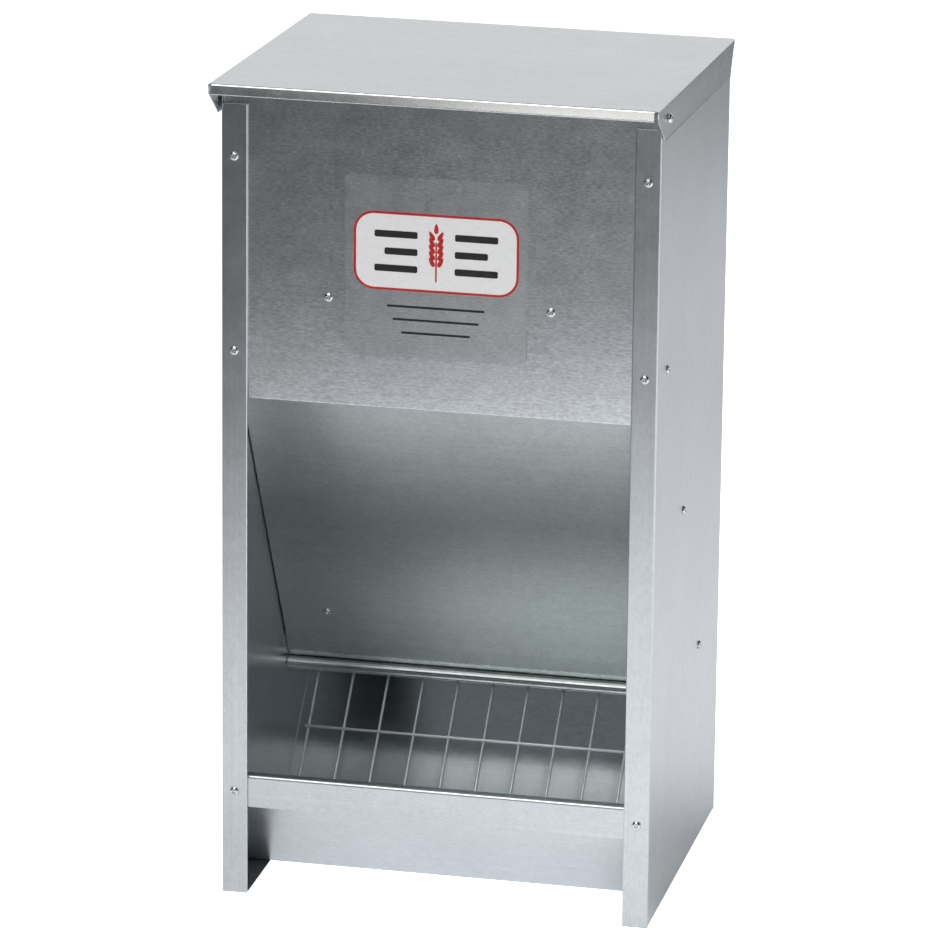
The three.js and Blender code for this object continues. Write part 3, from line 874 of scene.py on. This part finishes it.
def label():
    """A clear square film with a generic print: a framed ear of grain between plain bars."""
    low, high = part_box("label")
    x, z = (low.x + high.x) / 2, (low.z + high.z) / 2
    half = (high.x - low.x) / 2
    clear = plate("label_clear_film", rounded(x, z, half, half, FILM_CORNER), 0, film())
    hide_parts("label")
    white = ink("label_white", (0.96, 0.96, 0.95, 1), (0.90, 0.90, 0.89, 1))
    red = ink("label_red", (0.62, 0.025, 0.02, 1), (0.50, 0.02, 0.018, 1))
    black = ink("label_black", (0.022, 0.021, 0.022, 1), (0.014, 0.013, 0.014, 1))
    z += PRINT_RISE
    wide, tall, corner = FRAME_WIDTH / 2, FRAME_HEIGHT / 2, FRAME_CORNER
    plate("label_frame", rounded(x, z, wide, tall, corner), 1, red)
    wide, tall, corner = wide - FRAME_LINE, tall - FRAME_LINE, corner - FRAME_LINE
    plate("label_patch", rounded(x, z, wide, tall, corner), 2, white)
    plate("label_stalk", rounded(x, z + EAR_FOOT, 0.0006, 0.014, 0.0005), 3, red)
    for row in range(5):
        height = z + EAR_FOOT + row * EAR_PITCH
        for word, side in SIDES:
            spot = kernel(x + side * KERNEL_OUT, height, side * 0.5)
            plate(f"label_kernel_{word}_{row + 1}", spot, 3, red)
    plate("label_kernel_top", kernel(x, z + EAR_TOP, 0.0), 3, red)
    for word, side in SIDES:
        for row, length in enumerate(BAR_LENGTHS):
            middle = x + side * (BAR_START + length / 2)
            bar = rounded(middle, z + (1 - row) * BAR_PITCH, length / 2, 0.0024, 0.0012, 4)
            plate(f"label_bar_{word}_{row + 1}", bar, 3, black)
    for row, length in enumerate(LINE_LENGTHS):
        bar = rounded(x, z - LINE_DROP - row * LINE_PITCH, length / 2, 0.0008, 0.0004, 3)
        plate(f"label_line_{row + 1}", bar, 1, black)


# ---------------------------------------------------------------- build

sheet_front = galvanised("zinc_front", ALONG_X, 0.30, 1.0, 5.0, (MOTTLED_DARK, MOTTLED_LIGHT))
sheet_back = galvanised("zinc_back", ALONG_X, 0.32, 0.8, 9.0)
sheet_baffle = galvanised(
    "zinc_baffle", ALONG_X, 0.36, 0.7, 1.0, (GREENISH_DARK, GREENISH_LIGHT),
    (ALONG_Z, 0.124, 0.116, 0.14),
)
sheet_trough = galvanised(
    "zinc_trough", ALONG_X, 0.32, 0.5, 2.0, None, (ALONG_Y, FRONT + 0.06, FRONT + 0.12, 0.13),
)
sheet_lid = galvanised("zinc_lid", ALONG_X, 0.27, 0.2, 3.0)
sheet_side = galvanised("zinc_side", ALONG_Z, 0.30, 0.40, 7.0)

for word, side in SIDES:
    side_panel(word, side, sheet_side)
front_panel(sheet_front)
back_panel(sheet_back)
baffle(sheet_baffle)
trough(sheet_trough)
lid(sheet_lid)
wire_grid(wire_metal())
rivets(rivet_metal())
label()

# ---------------------------------------------------------------- floor and light

FLOOR_RADIUS = 14
GLOW = 0.74
GLOW_FAR = 0.51
GLOW_RIGHT = 0.6
GLOW_LEFT = 0.1
CAMERA_LIFT = 1.2  # added where the camera sees the table itself, so that it looks white


def softbox(name, place, aim, width, height, power, spread=180, colour=(1, 1, 1)):
    data = bpy.data.lights.new(name, "AREA")
    data.shape = "RECTANGLE"
    data.size, data.size_y = width, height
    data.energy = power
    data.spread = math.radians(spread)
    data.color = colour
    lamp = bpy.data.objects.new(name, data)
    lamp.location = place
    lamp.rotation_mode = "QUATERNION"
    lamp.rotation_quaternion = (Vector(aim) - Vector(place)).to_track_quat("-Z", "Y")
    lamp.visible_camera = False
    bpy.context.scene.collection.objects.link(lamp)


def glowing_table():
    """Painted light: a white cloth whose emission, shaped by place, stands in for a table lit from
    below and gives the glow that the feeder's sheets mirror.
    """
    graph = Graph("glowing_table")
    where = graph.add("ShaderNodeTexCoord").outputs["Object"]
    parts = graph.add("ShaderNodeSeparateXYZ", Vector=where)
    x, y = parts.outputs["X"], parts.outputs["Y"]
    # Painted light: the table glows as if lit from below, most a metre in front, and in front it
    # fades to the left.
    slanted = graph.sum(graph.sum(x, 0.9, "MULTIPLY"), y)
    distance = graph.add("ShaderNodeVectorMath", Vector=where)
    distance.operation = "LENGTH"
    distance = distance.outputs["Value"]
    peak = graph.spread(slanted, -0.95, -0.4, 1.0, GLOW)
    peak = graph.sum(peak, graph.spread(slanted, -0.45, -0.4, 1.0, 0.0), "MULTIPLY")
    glow = graph.sum(peak, graph.spread(distance, 0.6, 1.3, GLOW, GLOW_FAR), "MAXIMUM")
    glow = graph.sum(glow, graph.spread(slanted, -1.52, -1.08, 0.0, 1.0), "MULTIPLY")
    glow = graph.sum(glow, graph.spread(distance, 1.9, 2.6, 1.0, 0.0), "MULTIPLY")
    # Painted light: it glows more far out on the right and on the left.
    right = graph.sum(
        graph.spread(x, 0.5, 0.9, 0.0, GLOW_RIGHT), graph.spread(y, 0.3, 0.7, 1.0, 0.0),
        "MULTIPLY",
    )
    glow = graph.sum(graph.sum(glow, right), graph.spread(x, -1.4, -0.9, GLOW_LEFT, 0.0))
    # Painted shadow of the feeder: close to it the glow is darker, on the left, right in front and
    # beside the right panel.
    left = graph.spread(x, -0.28, -0.05, 0.6, 1.0)
    before = graph.sum(
        graph.spread(y, -0.32, -0.24, 0.0, 0.4), graph.spread(y, -0.13, -0.07, 1.0, 0.0),
        "MULTIPLY",
    )
    before = graph.sum(before, graph.spread(x, -0.02, 0.12, 1.0, 0.25), "MULTIPLY")
    before = graph.sum(1.0, before, "SUBTRACT")
    near = graph.sum(
        graph.spread(y, -0.16, -0.08, 1.0, 0.80), graph.spread(distance, 0.9, 1.5, 0.80, 1.0),
        "MAXIMUM",
    )
    beside = graph.sum(
        graph.spread(x, 0.25, 0.45, 1.0, 0.0), graph.spread(x, 0.10, 0.15, 0.0, 0.6), "MULTIPLY",
    )
    behind = graph.sum(
        graph.spread(y, -0.15, -0.05, 0.0, 1.0), graph.spread(y, 0.08, 0.24, 1.0, 0.0), "MULTIPLY",
    )
    shade = graph.sum(1.0, graph.sum(beside, behind, "MULTIPLY"), "SUBTRACT")
    shade = graph.sum(shade, near, "MULTIPLY")
    shade = graph.sum(shade, graph.sum(left, before, "MULTIPLY"), "MULTIPLY")
    # The painted shadow is multiplied into the glow.
    glow = graph.sum(glow, shade, "MULTIPLY")
    seen = graph.add("ShaderNodeLightPath").outputs["Is Camera Ray"]
    lift = graph.sum(seen, CAMERA_LIFT, "MULTIPLY")
    paper = graph.noise((3, 3, 3), 2.0)
    paper = graph.blend(paper, (0.90, 0.90, 0.90, 1), (0.93, 0.93, 0.93, 1))
    # Painted shade: the part farthest in front, which the front panel's top mirrors, gets a greyer
    # base colour that darkens that reflection.
    paler = graph.spread(slanted, -1.6, -1.2, 0.0, 1.0)
    return graph.finish(
        Base_Color=graph.blend(paler, (0.40, 0.40, 0.40, 1), paper),
        Roughness=0.9,
        Emission_Color=(0.96, 0.98, 1.03, 1),
        Emission_Strength=graph.sum(glow, lift),
    )


def floor(material):
    bm = bmesh.new()
    angles = [math.radians(degrees) for degrees in range(0, 360, 5)]
    outline(bm, [Vector((math.cos(a), math.sin(a), 0)) * FLOOR_RADIUS for a in angles])
    mesh = bpy.data.meshes.new("floor")
    bm.to_mesh(mesh)
    bm.free()
    mesh.materials.append(material)
    made = bpy.data.objects.new("floor", mesh)
    bpy.context.scene.collection.objects.link(made)


floor(glowing_table())
softbox("key", (-0.25, -0.6, 1.80), (0, 0.1, 0.1), 1.0, 1.0, 2.9, 90)
softbox("front_fill", (-0.3, -1.9, 1.9), (0, 0, 0.2), 2.4, 1.4, 6.4, 120)
softbox("backdrop", (0, 5.0, 1.6), (0, 0, 0.9), 7.0, 3.0, 61)
softbox("left_wall", (-5.0, 1.0, 1.6), (0, 0.3, 0.9), 3.5, 3.0, 18)
softbox("right_wall", (5.0, 0.3, 1.6), (0, 0.3, 0.9), 3.5, 3.0, 24)
softbox("lid_card", (0.0, -0.9, 0.68), (0.16, -0.14, 0.57), 0.30, 0.16, 0.34, 180, (1.05, 1, 0.94))
softbox("overhead", (0, 0.4, 2.2), (0, 0.2, 0.6), 1.2, 1.2, 0.6, 60)
softbox(
    "inside_hopper", (0.02, 0.07, 0.28), (0.02, 0.07, 0), 0.27, 0.11, 0.015, 180,
    (0.88, 1.0, 1.06),
)

world = bpy.data.worlds.new("studio")
bpy.context.scene.world = world
world.use_nodes = True
world.node_tree.nodes["Background"].inputs[0].default_value = (0.9, 0.93, 1.0, 1)
world.node_tree.nodes["Background"].inputs[1].default_value = 0.03
bpy.context.scene.view_settings.view_transform = "Standard"
